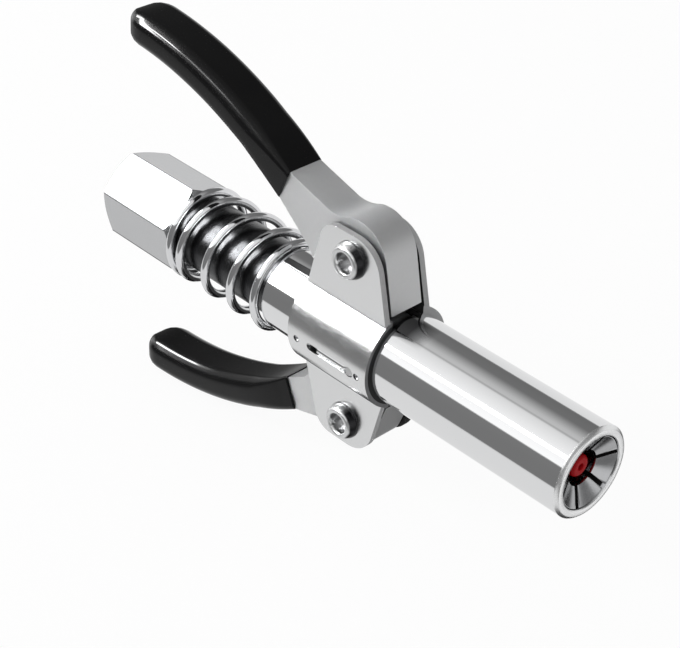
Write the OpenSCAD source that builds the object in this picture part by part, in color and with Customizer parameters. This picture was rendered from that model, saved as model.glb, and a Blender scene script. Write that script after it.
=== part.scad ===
// Lock-on grease coupler: six collet jaws in a sprung sleeve that two squeeze levers draw back.
// X runs from the inlet face to the nose, Z is up, and the origin is the centre of the inlet face.

/* [Inlet hex] */
// Width of the hex across its flats
hex_flats = 15.3; // [14.5:0.1:19]
// Length of the hex
hex_len = 19; // [18:0.5:26]
// Turn of the hex about the axis, degrees
hex_turn = 10; // [0:1:60]
// Angle of the chamfer on both ends of the hex, degrees
hex_chamfer = 30; // [15:1:40]
// Radius of the tapped inlet at its tap drill size
inlet_r = 4.35; // [3.5:0.05:5]
// Depth of the tapped inlet
inlet_depth = 10.5; // [8:0.5:11]
// Radius of the grease passage through the hex and the core
passage_r = 1.8; // [1.2:0.1:2]
// Depth of the socket in the hex that takes the core's spigot
socket_depth = 6; // [5:0.25:7]
// Thickness of the copper washer at the bottom of that socket
washer_t = 0.8; // [0.5:0.1:1.5]

/* [Core] */
// Outer radius of the core tube
core_r = 6.5; // [6.2:0.05:6.6]
// Radius of the core's spigot in the hex
spigot_r = 5.2; // [4.8:0.1:5.6]
// Radius of the check valve chamber
chamber_r = 3.2; // [2.9:0.1:3.6]
// Length of the check valve chamber
chamber_len = 17; // [14:0.5:20]
// Radius of the check ball
ball_r = 2.4; // [2.2:0.05:2.6]
// Depth of the groove that the lever toes push on
toe_groove_depth = 1.5; // [1.2:0.1:2]
// Running clearance of the sliding parts, on the radius
run = 0.06; // [0.03:0.01:0.1]
// Clearance between parts that don't guide each other
gap = 0.2; // [0.15:0.05:0.3]

/* [Main spring] */
// Length of the main spring as fitted
spring_len = 24.7; // [20:0.1:30]
// Mean radius of the coil
spring_r = 8.2; // [7.9:0.05:8.4]
// Diameter of the spring wire
wire_d = 1.6; // [1.2:0.1:1.8]
// Active turns of the coil
active_turns = 3.1; // [2.5:0.1:4]
// How much the pitch eases towards the nose
pitch_ease = 0.02; // [0:0.01:0.3]
// Angle from +Y towards +Z at which the wire starts on the hex, degrees
spring_turn = 255; // [0:5:355]

/* [Sleeve] */
// Length of the sleeve
sleeve_len = 66.4; // [60:0.2:75]
// Outer radius of the sleeve in front of the bracket
sleeve_r = 8; // [7.9:0.05:9]
// Outer radius of the sleeve under and behind the bracket
neck_r = 7.7; // [7.5:0.05:7.8]
// Travel of the sleeve when the levers are squeezed
travel = 2.95; // [2:0.05:3.2]
// Inner radius of the sleeve at the nose
mouth_r = 6.4; // [6.2:0.05:6.8]
// Inner radius of the sleeve round the jaw shanks
throat_bore_r = 5.3; // [5.2:0.05:5.5]
// Angle of the cone that closes the jaws, degrees
cone_angle = 14; // [10:0.5:18]

/* [Bracket] */
// Distance from the rear end of the sleeve to the bracket
bracket_back = 8.4; // [6:0.1:12]
// Length of the bracket's wrap along the sleeve
bracket_len = 18.5; // [17:0.1:22]
// Thickness of the bracket's sheet
sheet_t = 1.5; // [1:0.1:1.8]
// Distance from the rear edge of the bracket to the lever pivots
pivot_in = 9.9; // [9:0.1:11]
// Height of the upper lever's pivot over the axis
upper_pivot_z = 16.6; // [15.6:0.1:17.4]
// Depth of the lower lever's pivot under the axis
lower_pivot_z = 15.3; // [15:0.1:16.4]
// Height of the ears above the pivots
ear_rise = 4.6; // [4:0.1:5.5]
// Corner radius at the front of the ears
ear_front_r = 5.8; // [5:0.1:6.5]
// Corner radius at the rear of the ears
ear_rear_r = 3.8; // [3:0.1:4.5]
// Length of the slot in the bracket, between its end centres
slot_len = 9.2; // [8:0.1:10]
// Distance from the bracket's rear edge to the slot's rear end centre
slot_in = 5.4; // [4.6:0.1:6]
// Width of that slot
slot_w = 1.4; // [1.3:0.05:1.8]
// Drop of the slot and the dowels below the axis
slot_drop = 0.8; // [0:0.1:1]
// Rise of the guide pins over the axis
guide_rise = 3; // [2.6:0.1:3.4]
// Radius of the guide pins
guide_pin_r = 0.6; // [0.4:0.05:0.62]
// Radius of the dowel pins
dowel_r = 0.6; // [0.4:0.05:0.8]
// Distance of the dowel pins from the bracket's edges
dowel_in = 2.1; // [1.8:0.1:2.6]

/* [Levers] */
// Width of the levers
lever_w = 6.8; // [6:0.1:7.2]
// Radius of the round head on each lever
lever_head_r = 6.6; // [6:0.1:7.2]
// Distance of the toes' tips from the axis
toe_tip_z = 5.5; // [5.3:0.05:5.8]
// Thickness of a toe along the sleeve
toe_t = 2.3; // [1.8:0.1:2.6]
// Width of a toe across the sleeve
toe_w = 4; // [3:0.1:4.6]
// Radius of the rivets' shanks
rivet_r = 2; // [1.6:0.05:2.3]
// Radius of a rivet's rolled head where it meets the ear
rivet_head_r = 3.3; // [2.6:0.1:3.6]
// Height of the rivet's rolled head
rivet_head_t = 1.7; // [1.2:0.1:2.2]
// Radius of the hollow in the rivets
rivet_bore_r = 1.5; // [1:0.05:1.5]
// Distance of the upper grip's front end behind its pivot
upper_grip_back = 18.2; // [16:0.1:20]
// Rise of the upper grip's front end over its pivot
upper_grip_rise = 5.8; // [5.2:0.1:7]
// Slope of the upper grip at its front end, degrees
upper_slope = 35.5; // [32:0.5:38]
// Distance of the lower grip's front end behind its pivot
lower_grip_back = 15.5; // [14.5:0.1:17]
// Drop of the lower grip's front end under its pivot
lower_grip_drop = 3.9; // [3:0.1:5]
// Slope of the lower grip at its front end, degrees
lower_slope = 33; // [30:0.5:36]

/* [Grips] */
// Length of a grip along its curve
grip_len = 44; // [36:0.5:46]
// Radius of the curve of the grips
grip_curve_r = 74; // [65:1:85]
// Width of the grips
grip_w = 9.2; // [8.6:0.1:10]
// Thickness of the grips
grip_t = 6.2; // [5.4:0.1:6.8]
// Radius of the grips' long edges
grip_edge_r = 2.2; // [1.4:0.1:2.5]
// Thickness of the grip's skin over the lever's tang
skin_t = 1.4; // [1:0.1:1.6]

/* [Jaws and seal] */
// Length of the jaws
jaw_len = 22.7; // [20:0.1:25]
// Outer radius of a jaw's shank
shank_r = 4.6; // [4.5:0.02:4.7]
// Radius of the space inside the jaws
jaw_bore_r = 3.65; // [3.55:0.05:3.8]
// Radius of the lips that grip the nipple's neck
lip_r = 3.1; // [2.8:0.05:3.3]
// Depth of the funnel in the jaws' front faces
funnel_depth = 1.5; // [1.2:0.1:2]
// Width of the slits between the jaws
slit_w = 0.9; // [0.6:0.05:1.2]
// Turn of the first slit from +Y towards +Z, degrees
slit_turn = 10; // [0:1:59]
// Distance of the jaws' front faces behind the nose
jaw_inset = 0.3; // [0.2:0.05:0.8]
// Radius of the seal and its stem
seal_r = 1.9; // [1.6:0.05:2]
// Distance of the seal's face behind the nose
seal_inset = 2.1; // [1.9:0.1:3]
// Travel of the seal when a nipple is pushed in
seal_travel = 3.5; // [2.5:0.1:4]
// Length of the seal spring as fitted
seal_spring_len = 9; // [8.5:0.1:12]
// Diameter of the wire of the two small springs
small_wire_d = 0.6; // [0.5:0.05:0.7]

/* [Hidden] */
$fn = 96;
eps = 0.01;
// Clearance of pieces that are pressed or riveted together, and of the levers between the ears
seat_gap = 0.02;
lever_gap = 0.1;
jaw_count = 6;
hex_faces = 6;
hex_face_r = hex_flats / 2 - gap;

// Places along the axis
socket_x = hex_len - socket_depth;
core_rear_x = socket_x + washer_t;
chamber_end_x = core_rear_x + chamber_len;
sleeve_rear_x = hex_len + spring_len;
nose_x = sleeve_rear_x + sleeve_len;
bracket_rear_x = sleeve_rear_x + bracket_back;
bracket_front_x = bracket_rear_x + bracket_len;
pivot_x = bracket_rear_x + pivot_in;
jaw_front_x = nose_x - jaw_inset;
heel_x = jaw_front_x - jaw_len;

// Jaw carrier: a flange on the core's front end, a neck for the heels' hooks and a collar in front
hook_t = 1.4;
hook_r = lip_r;
neck_carrier_r = hook_r - gap;
collar_t = 1.5;
carrier_flange_t = 2.3;
carrier_spigot_len = 8;
carrier_spigot_r = 4.2;
carrier_x = heel_x - gap - carrier_flange_t;
core_front_x = carrier_x;
carrier_rear_x = carrier_x - carrier_spigot_len;
collar_x = heel_x + hook_t + gap;

// Seal plunger: a flange behind the carrier, pushed forward by the seal spring
flange_r = chamber_r - run;
flange_t = 1.6;
flange_x = carrier_rear_x - gap - flange_t;
seal_chamber_x = flange_x - seal_spring_len;
seal_face_x = nose_x - seal_inset;
seal_tip_len = 3.2;
seal_hole_r = 0.6;
spring_seat_gap = 0.05;
small_coil_r = passage_r + small_wire_d / 2 + spring_seat_gap;
spring_pocket_r = small_coil_r + small_wire_d / 2 + gap;

// Sleeve cone, and the bore that slides on the core
cone_len = (mouth_r - throat_bore_r) / tan(cone_angle);
cone_x = nose_x - cone_len;
shoulder_x = core_front_x + travel + gap;
sleeve_bore_r = core_r + run;
rim_edge = 0.5;

// Bracket: sheet wrapped on the neck, with flat ears beside the levers
wrap_in_r = neck_r + seat_gap;
wrap_r = wrap_in_r + sheet_t;
ear_in_y = lever_w / 2 + lever_gap;
ear_y = ear_in_y + sheet_t;
ear_root_z = sqrt(wrap_r * wrap_r - ear_y * ear_y) - 2 * gap;
ear_foot_z = sqrt(wrap_in_r * wrap_in_r - ear_in_y * ear_in_y) + lever_gap;
ear_front_dx = 0.9;
ear_rear_dx = -3.4;
guide_x = bracket_rear_x + slot_in;
guide_pin_y = chamber_r + 0.3;
guide_end_y = sqrt(pow(neck_r, 2) - pow(guide_rise + guide_pin_r, 2)) - gap;

// Lever toes and the groove and windows that they work in
toe_front = 1;
toe_rear = toe_front - toe_t;
toe_groove_r = core_r - toe_groove_depth;
foot_gap = 0.4;
heel_back = 10.6;
arm_slope = 16;
waist_r = 7;
tang_t = grip_t - 2 * skin_t;
tang_w = grip_w - 2 * skin_t;
tang_end = 4;
tang_gap = 0.05;
corner_r_min = 0.1;
corner_steps = 4;
curve_steps = 18;
tip_angles = [18, 36, 52, 67, 80];
rivet_hole_r = rivet_r + run;

// Point on a circle
function polar(c, r, a) = c + r * [cos(a), sin(a)];

// Points along an arc from one angle to another
arc_steps = 16;
function arc(c, r, a, b) = [for (k = [0:arc_steps]) polar(c, r, a + (b - a) * k / arc_steps)];

// Angle at which the line from p touches the circle; side is 1 or -1
function touch(c, r, p, side) =
    let (d = p - c) atan2(d[1], d[0]) + side * acos(r / norm(d));

// Distance along the main spring at a number of turns: closed, active with easing pitch, closed
closed_turns = 1;
end_turns = 0.5;
wire_reach = wire_d / 2 + spring_seat_gap;
coil_rear_x = hex_len - (spring_r - hex_face_r) * tan(hex_chamfer) + wire_reach / cos(hex_chamfer);
coil_front_x = sleeve_rear_x - sqrt(pow(wire_reach, 2) - pow(spring_r - neck_r, 2));
active_len = coil_front_x - coil_rear_x - wire_d * (closed_turns + end_turns);
function spring_at(t) =
    let (u = min(max(t - closed_turns, 0), active_turns) / active_turns)
    wire_d * (min(t, closed_turns) + max(t - closed_turns - active_turns, 0))
    + active_len * u * (1 + pitch_ease * (1 - u));

// Distance along a small spring: one closed turn at each end, and an even pitch between
function small_at(t, turns, len) =
    let (u = min(max(t - 1, 0), turns - 2) / (turns - 2))
    small_wire_d * (min(t, 1) + max(t - turns + 1, 0))
    + (len - 3 * small_wire_d) * u;

// A profile of [radius, distance along X] turned about the X axis
module turned(profile) {
    rotate([0, 90, 0]) rotate_extrude() polygon(profile);
}

// A cylinder along X
module rod(x, len, r) {
    translate([x, 0, 0]) rotate([0, 90, 0]) cylinder(h = len, r = r);
}

// A flat outline in X and Z, given its thickness along Y about a middle plane
module plate(y, t) {
    translate([0, y, 0]) rotate([90, 0, 0]) linear_extrude(height = t, center = true) children();
}

// A round pin along Y between two distances from the middle plane, on the near or far side
module side_pin(x, z, y_in, y_out, r, side) {
    translate([x, side * (y_in + y_out) / 2, z]) rotate([90, 0, 0])
        cylinder(h = y_out - y_in, r = r, center = true);
}

// A wire swept along a list of points about the X axis, each [distance, angle, coil radius]
module wire(path, d, sides) {
    rings = [
        for (p = path, k = [0:sides - 1])
            let (a = 360 * k / sides, r = p[2] + d / 2 * cos(a))
            [p[0] + d / 2 * sin(a), r * cos(p[1]), r * sin(p[1])]
    ];
    last = len(path) - 1;
    walls = [
        for (i = [0:last - 1], k = [0:sides - 1])
            let (j = (k + 1) % sides, a = i * sides, b = a + sides)
            [a + k, b + k, b + j, a + j]
    ];
    caps = [[for (k = [0:sides - 1]) k], [for (k = [sides - 1:-1:0]) last * sides + k]];
    polyhedron(points = rings, faces = concat(walls, caps), convexity = 10);
}

module inlet_hex_body() {
    corner_r = hex_flats / 2 / cos(180 / hex_faces);
    clear_r = corner_r + gap;
    chamfer_x = (clear_r - hex_face_r) * tan(hex_chamfer);
    color("silver") difference() {
        intersection() {
            rotate([hex_turn, 0, 0]) rod(0, hex_len, corner_r, $fn = hex_faces);
            turned([
                [0, 0], [hex_face_r, 0], [clear_r, chamfer_x],
                [clear_r, hex_len - chamfer_x], [hex_face_r, hex_len], [0, hex_len]
            ]);
        }
        rod(-eps, inlet_depth + eps, inlet_r);
        rod(0, hex_len, passage_r);
        rod(socket_x, socket_depth + eps, spigot_r + run);
    }
}

module inlet_washer() {
    color("darkgoldenrod") difference() {
        rod(socket_x, washer_t, spigot_r);
        rod(socket_x - eps, washer_t + 2 * eps, chamber_r);
    }
}

module core_tube() {
    color("gray") difference() {
        turned([
            [0, core_rear_x], [spigot_r, core_rear_x], [spigot_r, hex_len],
            [core_r, hex_len], [core_r, core_front_x], [0, core_front_x]
        ]);
        rod(core_rear_x - eps, chamber_len + eps, chamber_r);
        rod(core_rear_x, seal_chamber_x - core_rear_x + eps, passage_r);
        rod(seal_chamber_x, core_front_x - seal_chamber_x, spring_pocket_r);
        rod(flange_x - seal_travel - gap, core_front_x - flange_x, chamber_r);
        rod(carrier_rear_x, carrier_spigot_len + eps, carrier_spigot_r + run);
        turned([
            [toe_groove_r, pivot_x + toe_rear - 3 * gap], [core_r + 1, pivot_x + toe_rear - 3 * gap],
            [core_r + 1, pivot_x + toe_front + gap], [toe_groove_r, pivot_x + toe_front + gap]
        ]);
        for (side = [-1, 1])
            side_pin(guide_x, guide_rise, guide_pin_y, core_r + 1, guide_pin_r, side);
    }
}

module guide_pins() {
    color("dimgray") for (side = [-1, 1])
        side_pin(guide_x, guide_rise, guide_pin_y, guide_end_y, guide_pin_r, side);
}

ball_x = socket_x + sqrt(ball_r * ball_r - passage_r * passage_r) + spring_seat_gap;

module check_ball() {
    color("lightgray") translate([ball_x, 0, 0]) sphere(r = ball_r);
}

module check_spring() {
    turns = 7;
    start_x = ball_x + sqrt(ball_r * ball_r - small_coil_r * small_coil_r) + small_wire_d / 2;
    len = chamber_end_x - spring_seat_gap - start_x;
    color("silver") wire([
        for (k = [0:turns * 16])
            let (t = k / 16)
            [start_x + small_wire_d / 2 + small_at(t, turns, len), 360 * t, small_coil_r]
    ], small_wire_d, 6);
}

// The coil is wound left-handed, so a right-handed one is mirrored
module main_spring() {
    turns = closed_turns + active_turns + end_turns;
    steps = 28;
    color("gainsboro") mirror([0, 0, 1]) wire([
        for (k = [0:floor(turns * steps)])
            let (t = k / steps)
            [coil_rear_x + spring_at(t), 360 * t - spring_turn, spring_r]
    ], wire_d, 10);
}

module jaw_carrier() {
    color("gray") difference() {
        turned([
            [0, carrier_rear_x], [carrier_spigot_r, carrier_rear_x], [carrier_spigot_r, carrier_x],
            [throat_bore_r - gap, carrier_x], [throat_bore_r - gap, heel_x - gap],
            [neck_carrier_r, heel_x - gap], [neck_carrier_r, collar_x],
            [jaw_bore_r - gap, collar_x], [jaw_bore_r - gap, collar_x + collar_t],
            [0, collar_x + collar_t]
        ]);
        rod(carrier_rear_x - eps, collar_x + collar_t - carrier_rear_x + 2 * eps, seal_r + run);
    }
}

// One collet jaw: a hooked heel, a thin shank, a lip and a funnelled front face
module jaw(k) {
    lip_x = jaw_front_x - funnel_depth;
    lip_land = 0.4;
    lip_back = 0.8;
    cone_gap = 0.12;
    slope = tan(cone_angle);
    front_r = mouth_r - jaw_inset * slope - cone_gap;
    flare_x = jaw_front_x - (front_r - shank_r) / slope;
    apex = slit_w / 2 / sin(180 / jaw_count);
    reach = 2 * mouth_r;
    color("darkgray") intersection() {
        turned([
            [hook_r, heel_x], [shank_r, heel_x], [shank_r, flare_x], [front_r, jaw_front_x],
            [front_r - 0.1, jaw_front_x], [lip_r, lip_x], [lip_r, lip_x - lip_land],
            [jaw_bore_r, lip_x - lip_land - lip_back], [jaw_bore_r, heel_x + hook_t],
            [hook_r, heel_x + hook_t]
        ]);
        rotate([slit_turn + (k - 0.5) * 360 / jaw_count, 0, 0]) rotate([90, 0, 90])
            linear_extrude(height = nose_x) polygon([
                [apex, 0],
                [apex, 0] + reach * [cos(180 / jaw_count), -sin(180 / jaw_count)],
                [apex, 0] + reach * [cos(180 / jaw_count), sin(180 / jaw_count)]
            ]);
    }
}

module jaw_1() { jaw(1); }
module jaw_2() { jaw(2); }
module jaw_3() { jaw(3); }
module jaw_4() { jaw(4); }
module jaw_5() { jaw(5); }
module jaw_6() { jaw(6); }

module seal_plunger() {
    color("gray") difference() {
        turned([
            [0, flange_x], [flange_r, flange_x], [flange_r, flange_x + flange_t],
            [seal_r, flange_x + flange_t], [seal_r, seal_face_x - seal_tip_len],
            [0, seal_face_x - seal_tip_len]
        ]);
        rod(flange_x - eps, nose_x, seal_hole_r);
    }
}

module seal_tip() {
    edge = 0.4;
    color("firebrick") difference() {
        turned([
            [0, seal_face_x - seal_tip_len], [seal_r, seal_face_x - seal_tip_len],
            [seal_r, seal_face_x - edge], [seal_r - edge, seal_face_x], [0, seal_face_x]
        ]);
        rod(seal_face_x - seal_tip_len - eps, seal_tip_len + 2 * eps, seal_hole_r);
    }
}

module seal_spring() {
    turns = 6;
    len = seal_spring_len - 2 * spring_seat_gap;
    color("silver") wire([
        for (k = [0:turns * 16])
            let (t = k / 16)
            [seal_chamber_x + spring_seat_gap + small_wire_d / 2 + small_at(t, turns, len), 360 * t, small_coil_r]
    ], small_wire_d, 6);
}

module outer_sleeve() {
    color("gainsboro") difference() {
        turned([
            [sleeve_bore_r, sleeve_rear_x], [neck_r, sleeve_rear_x], [neck_r, bracket_front_x],
            [sleeve_r, bracket_front_x], [sleeve_r, nose_x - rim_edge], [sleeve_r - rim_edge, nose_x],
            [mouth_r, nose_x], [throat_bore_r, cone_x], [throat_bore_r, shoulder_x],
            [sleeve_bore_r, shoulder_x]
        ]);
        // Windows for the toes, above and below
        for (turn = [0, 180]) rotate([turn, 0, 0])
            translate([pivot_x + toe_rear - 2 * gap, -toe_w / 2 - gap, 0])
                cube([toe_t + travel + 4 * gap, toe_w + 2 * gap, sleeve_r + 1]);
        // Slots for the guide pins, under the bracket
        for (side = [-1, 1], dx = [0, travel + gap])
            side_pin(guide_x + dx, guide_rise, guide_pin_y, sleeve_r + 1, slot_w / 2, side);
        for (side = [-1, 1])
            translate([guide_x, side < 0 ? -sleeve_r - 1 : guide_pin_y, guide_rise - slot_w / 2])
                cube([travel + gap, sleeve_r + 1 - guide_pin_y, slot_w]);
        // Vents at the rear ends of the bracket's slots
        for (side = [-1, 1])
            side_pin(guide_x, -slot_drop, sleeve_bore_r - 1, sleeve_r + 1, slot_w / 2, side);
        dowel_holes();
    }
}

// Outline of an upper ear, seen from the side: round front and rear corners on a wide root
module ear_outline(pz) {
    top = pz + ear_rise;
    front_c = [pivot_x + ear_front_dx, top - ear_front_r];
    rear_c = [pivot_x + ear_rear_dx, top - ear_rear_r];
    front_root = [bracket_front_x, ear_root_z];
    rear_root = [bracket_rear_x, ear_root_z];
    polygon(concat(
        [[bracket_rear_x, ear_foot_z], rear_root],
        arc(rear_c, ear_rear_r, touch(rear_c, ear_rear_r, rear_root, -1) + 360, 90),
        arc(front_c, ear_front_r, 90, touch(front_c, ear_front_r, front_root, 1)),
        [front_root, [bracket_front_x, ear_foot_z]]
    ));
}

module dowel_holes() {
    for (side = [-1, 1], x = [bracket_rear_x + dowel_in, bracket_front_x - dowel_in])
        side_pin(x, -slot_drop, sleeve_bore_r - 1, wrap_r + 1, dowel_r + seat_gap, side);
}

// One bracket half: a sheet wrapped round one side of the neck, and its two flat ears
module bracket_half(side) {
    color("lightgray") difference() {
        union() {
            intersection() {
                turned([
                    [wrap_in_r, bracket_rear_x], [wrap_r, bracket_rear_x],
                    [wrap_r, bracket_front_x], [wrap_in_r, bracket_front_x]
                ]);
                translate([0, side < 0 ? -ear_in_y - 2 * wrap_r : ear_in_y, -wrap_r - 1])
                    cube([nose_x, 2 * wrap_r, 2 * wrap_r + 2]);
            }
            plate(side * (ear_in_y + sheet_t / 2), sheet_t) ear_outline(upper_pivot_z);
            mirror([0, 0, 1]) plate(side * (ear_in_y + sheet_t / 2), sheet_t) ear_outline(lower_pivot_z);
        }
        for (z = [-lower_pivot_z, upper_pivot_z])
            side_pin(pivot_x, z, 0, wrap_r, rivet_r + seat_gap, side);
        for (dx = [0, slot_len])
            side_pin(guide_x + dx, -slot_drop, 0, wrap_r + 1, slot_w / 2, side);
        translate([guide_x, side < 0 ? -wrap_r - 1 : 0, -slot_drop - slot_w / 2])
            cube([slot_len, wrap_r + 1, slot_w]);
        dowel_holes();
    }
}

module bracket_near() { bracket_half(-1); }
module bracket_far() { bracket_half(1); }

module bracket_dowel_pins() {
    color("dimgray") for (side = [-1, 1], x = [bracket_rear_x + dowel_in, bracket_front_x - dowel_in])
        side_pin(x, -slot_drop, sleeve_bore_r + gap, wrap_r - gap, dowel_r, side);
}

// A hollow pivot rivet: a rolled head on the near ear and a low head on the far one
module pivot_rivet(z) {
    rolled_r = rivet_head_r - 0.5;
    lip = 0.3;
    far_head_t = 1.2;
    seat = ear_y + seat_gap;
    color("silver") translate([pivot_x, 0, z]) rotate([90, 0, 0]) difference() {
        rotate_extrude() polygon([
            [0, -seat - far_head_t], [rivet_head_r - far_head_t / 2, -seat - far_head_t],
            [rivet_head_r, -seat - far_head_t / 2], [rivet_head_r, -seat], [rivet_r, -seat],
            [rivet_r, seat], [rivet_head_r, seat], [rolled_r, seat + rivet_head_t - lip],
            [rolled_r - lip, seat + rivet_head_t], [0, seat + rivet_head_t]
        ]);
        cylinder(h = seat + rivet_head_t + eps, r = rivet_bore_r);
    }
}

module upper_pivot_rivet() { pivot_rivet(upper_pivot_z); }
module lower_pivot_rivet() { pivot_rivet(-lower_pivot_z); }

// Centre of the grip's curve, in X and Z from the pivot; the curve starts at the grip's front end
function curve_centre(back, rise, slope) = [-back, rise] - grip_curve_r * [sin(slope), cos(slope)];
function sweep_of(length) = length / grip_curve_r * 180 / PI;

// Points round a section across the curve: half width, half thickness, radius of the corners
function section(hw, ht, r) = [
    for (q = [0:3], k = [0:corner_steps])
        let (
            a = 90 * (q + k / corner_steps),
            sx = q == 0 || q == 3 ? 1 : -1,
            sy = q < 2 ? 1 : -1
        )
        [sx * (hw - r) + r * cos(a), sy * (ht - r) + r * sin(a)]
];

// A section set across the curve at a distance along it, from the curve's own centre
function ring_at(along, points) =
    let (a = sweep_of(along))
    [for (p = points) [(grip_curve_r + p[1]) * cos(a), (grip_curve_r + p[1]) * sin(a), p[0]]];

// The dipped grip: a skin round the lever's tang, open at its front end, with a round tip
module grip_skin() {
    hw = grip_w / 2;
    ht = grip_t / 2;
    pocket = section(tang_w / 2 + tang_gap, tang_t / 2 + tang_gap, corner_r_min);
    pocket_len = grip_len - tang_end + tang_gap;
    body_len = grip_len - hw;
    rings = concat(
        [for (k = [0:curve_steps]) ring_at(pocket_len * (1 - k / curve_steps), pocket)],
        [for (k = [0:curve_steps]) ring_at(body_len * k / curve_steps, section(hw, ht, grip_edge_r))],
        [for (a = tip_angles)
            let (w = hw * cos(a), t = ht - grip_edge_r * (1 - cos(a)))
            ring_at(body_len + hw * sin(a), section(w, t, min(grip_edge_r, w * 0.9, t * 0.9)))]
    );
    count = len(pocket);
    last = len(rings) - 1;
    walls = [
        for (i = [0:last - 1], k = [0:count - 1])
            let (j = (k + 1) % count, a = i * count, b = a + count)
            each [[a + k, a + j, b + j], [a + k, b + j, b + k]]
    ];
    caps = [[for (k = [count - 1:-1:0]) k], [for (k = [0:count - 1]) last * count + k]];
    polyhedron(points = [for (r = rings, p = r) p], faces = concat(walls, caps), convexity = 6);
}

// Places a shape made about the centre of the grip's curve, with its front end on the X axis
module on_curve(pz, back, rise, slope) {
    c = curve_centre(back, rise, slope);
    translate([pivot_x + c[0], 0, pz + c[1]]) rotate([90, 0, 0]) rotate([0, 0, 90 - slope]) children();
}

// Side outline of a lever from its head to the grip, with a hollow waist behind the head
module lever_outline(pz, back, rise, slope) {
    across = grip_t / 2 - lever_gap;
    end = [-back, rise];
    normal = [sin(slope), cos(slope)];
    top = end + across * normal;
    out = [sin(arm_slope), cos(arm_slope)];
    along = [cos(arm_slope), -sin(arm_slope)];
    waist_h = out * top + waist_r;
    waist_c = waist_h * out - sqrt(pow(lever_head_r + waist_r, 2) - pow(waist_h, 2)) * along;
    head_back = atan2(waist_c[1], waist_c[0]);
    foot_z = neck_r + foot_gap - pz;
    squeeze = asin(travel / (pz - toe_tip_z));
    foot = [bracket_front_x - pivot_x - 2 * gap, foot_z + 1];
    heel = [-heel_back, foot_z + 2 * gap + heel_back * tan(squeeze)];
    throat = heel + [-1, 1.6];
    head_front = touch([0, 0], lever_head_r, foot, 1);
    translate([pivot_x, pz]) polygon(concat(
        arc([0, 0], lever_head_r, head_back, head_front),
        [foot, [toe_front, foot_z], [toe_rear, foot_z + gap], heel, throat],
        [end - across * normal, top],
        arc(waist_c, waist_r, -90 - arm_slope, head_back - 180)
    ));
}

module lever(pz, back, rise, slope) {
    color("silver") difference() {
        union() {
            plate(0, lever_w) lever_outline(pz, back, rise, slope);
            translate([pivot_x + toe_rear, -toe_w / 2, toe_tip_z]) cube([toe_t, toe_w, pz - toe_tip_z]);
            on_curve(pz, back, rise, slope) tang();
        }
        translate([pivot_x, 0, pz]) rotate([90, 0, 0])
            cylinder(h = 2 * lever_w, r = rivet_hole_r, center = true);
    }
}

// The flat tang that the grip is dipped on
module tang() {
    root = 3;
    rotate([0, 0, -sweep_of(root)]) rotate_extrude(angle = sweep_of(root + grip_len - tang_end))
        translate([grip_curve_r - tang_t / 2, -tang_w / 2]) square([tang_t, tang_w]);
}

module grip(pz, back, rise, slope) {
    color("#1c1c1e") on_curve(pz, back, rise, slope) grip_skin();
}

module upper_lever() { lever(upper_pivot_z, upper_grip_back, upper_grip_rise, upper_slope); }
module upper_grip() { grip(upper_pivot_z, upper_grip_back, upper_grip_rise, upper_slope); }

module lower_lever() {
    mirror([0, 0, 1]) lever(lower_pivot_z, lower_grip_back, lower_grip_drop, lower_slope);
}

module lower_grip() {
    mirror([0, 0, 1]) grip(lower_pivot_z, lower_grip_back, lower_grip_drop, lower_slope);
}

inlet_hex_body();
inlet_washer();
core_tube();
guide_pins();
check_ball();
check_spring();
main_spring();
jaw_carrier();
jaw_1();
jaw_2();
jaw_3();
jaw_4();
jaw_5();
jaw_6();
seal_plunger();
seal_tip();
seal_spring();
outer_sleeve();
bracket_near();
bracket_far();
bracket_dowel_pins();
upper_pivot_rivet();
lower_pivot_rivet();
upper_lever();
upper_grip();
lower_lever();
lower_grip();
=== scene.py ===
import math

import bmesh
import bpy
from mathutils import Matrix, Vector


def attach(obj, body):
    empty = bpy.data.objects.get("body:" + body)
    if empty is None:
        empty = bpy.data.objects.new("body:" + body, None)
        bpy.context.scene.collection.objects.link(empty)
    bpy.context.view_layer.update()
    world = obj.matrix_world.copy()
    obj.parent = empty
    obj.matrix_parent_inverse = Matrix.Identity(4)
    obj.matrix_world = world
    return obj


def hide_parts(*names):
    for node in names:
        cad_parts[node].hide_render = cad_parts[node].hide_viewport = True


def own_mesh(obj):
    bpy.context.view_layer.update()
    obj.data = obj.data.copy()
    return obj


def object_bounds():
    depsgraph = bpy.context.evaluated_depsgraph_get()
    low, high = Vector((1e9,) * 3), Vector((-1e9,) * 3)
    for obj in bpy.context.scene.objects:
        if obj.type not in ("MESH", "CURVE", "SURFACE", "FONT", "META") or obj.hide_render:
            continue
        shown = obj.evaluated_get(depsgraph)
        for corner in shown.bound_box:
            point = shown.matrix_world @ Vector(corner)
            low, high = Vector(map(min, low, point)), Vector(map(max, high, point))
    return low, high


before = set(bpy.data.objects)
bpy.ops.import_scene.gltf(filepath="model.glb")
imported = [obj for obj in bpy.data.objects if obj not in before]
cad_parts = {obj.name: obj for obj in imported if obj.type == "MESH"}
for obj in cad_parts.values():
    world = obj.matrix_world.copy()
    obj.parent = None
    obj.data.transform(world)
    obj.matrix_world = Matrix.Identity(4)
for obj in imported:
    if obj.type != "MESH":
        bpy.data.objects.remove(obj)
cad_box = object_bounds()

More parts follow.
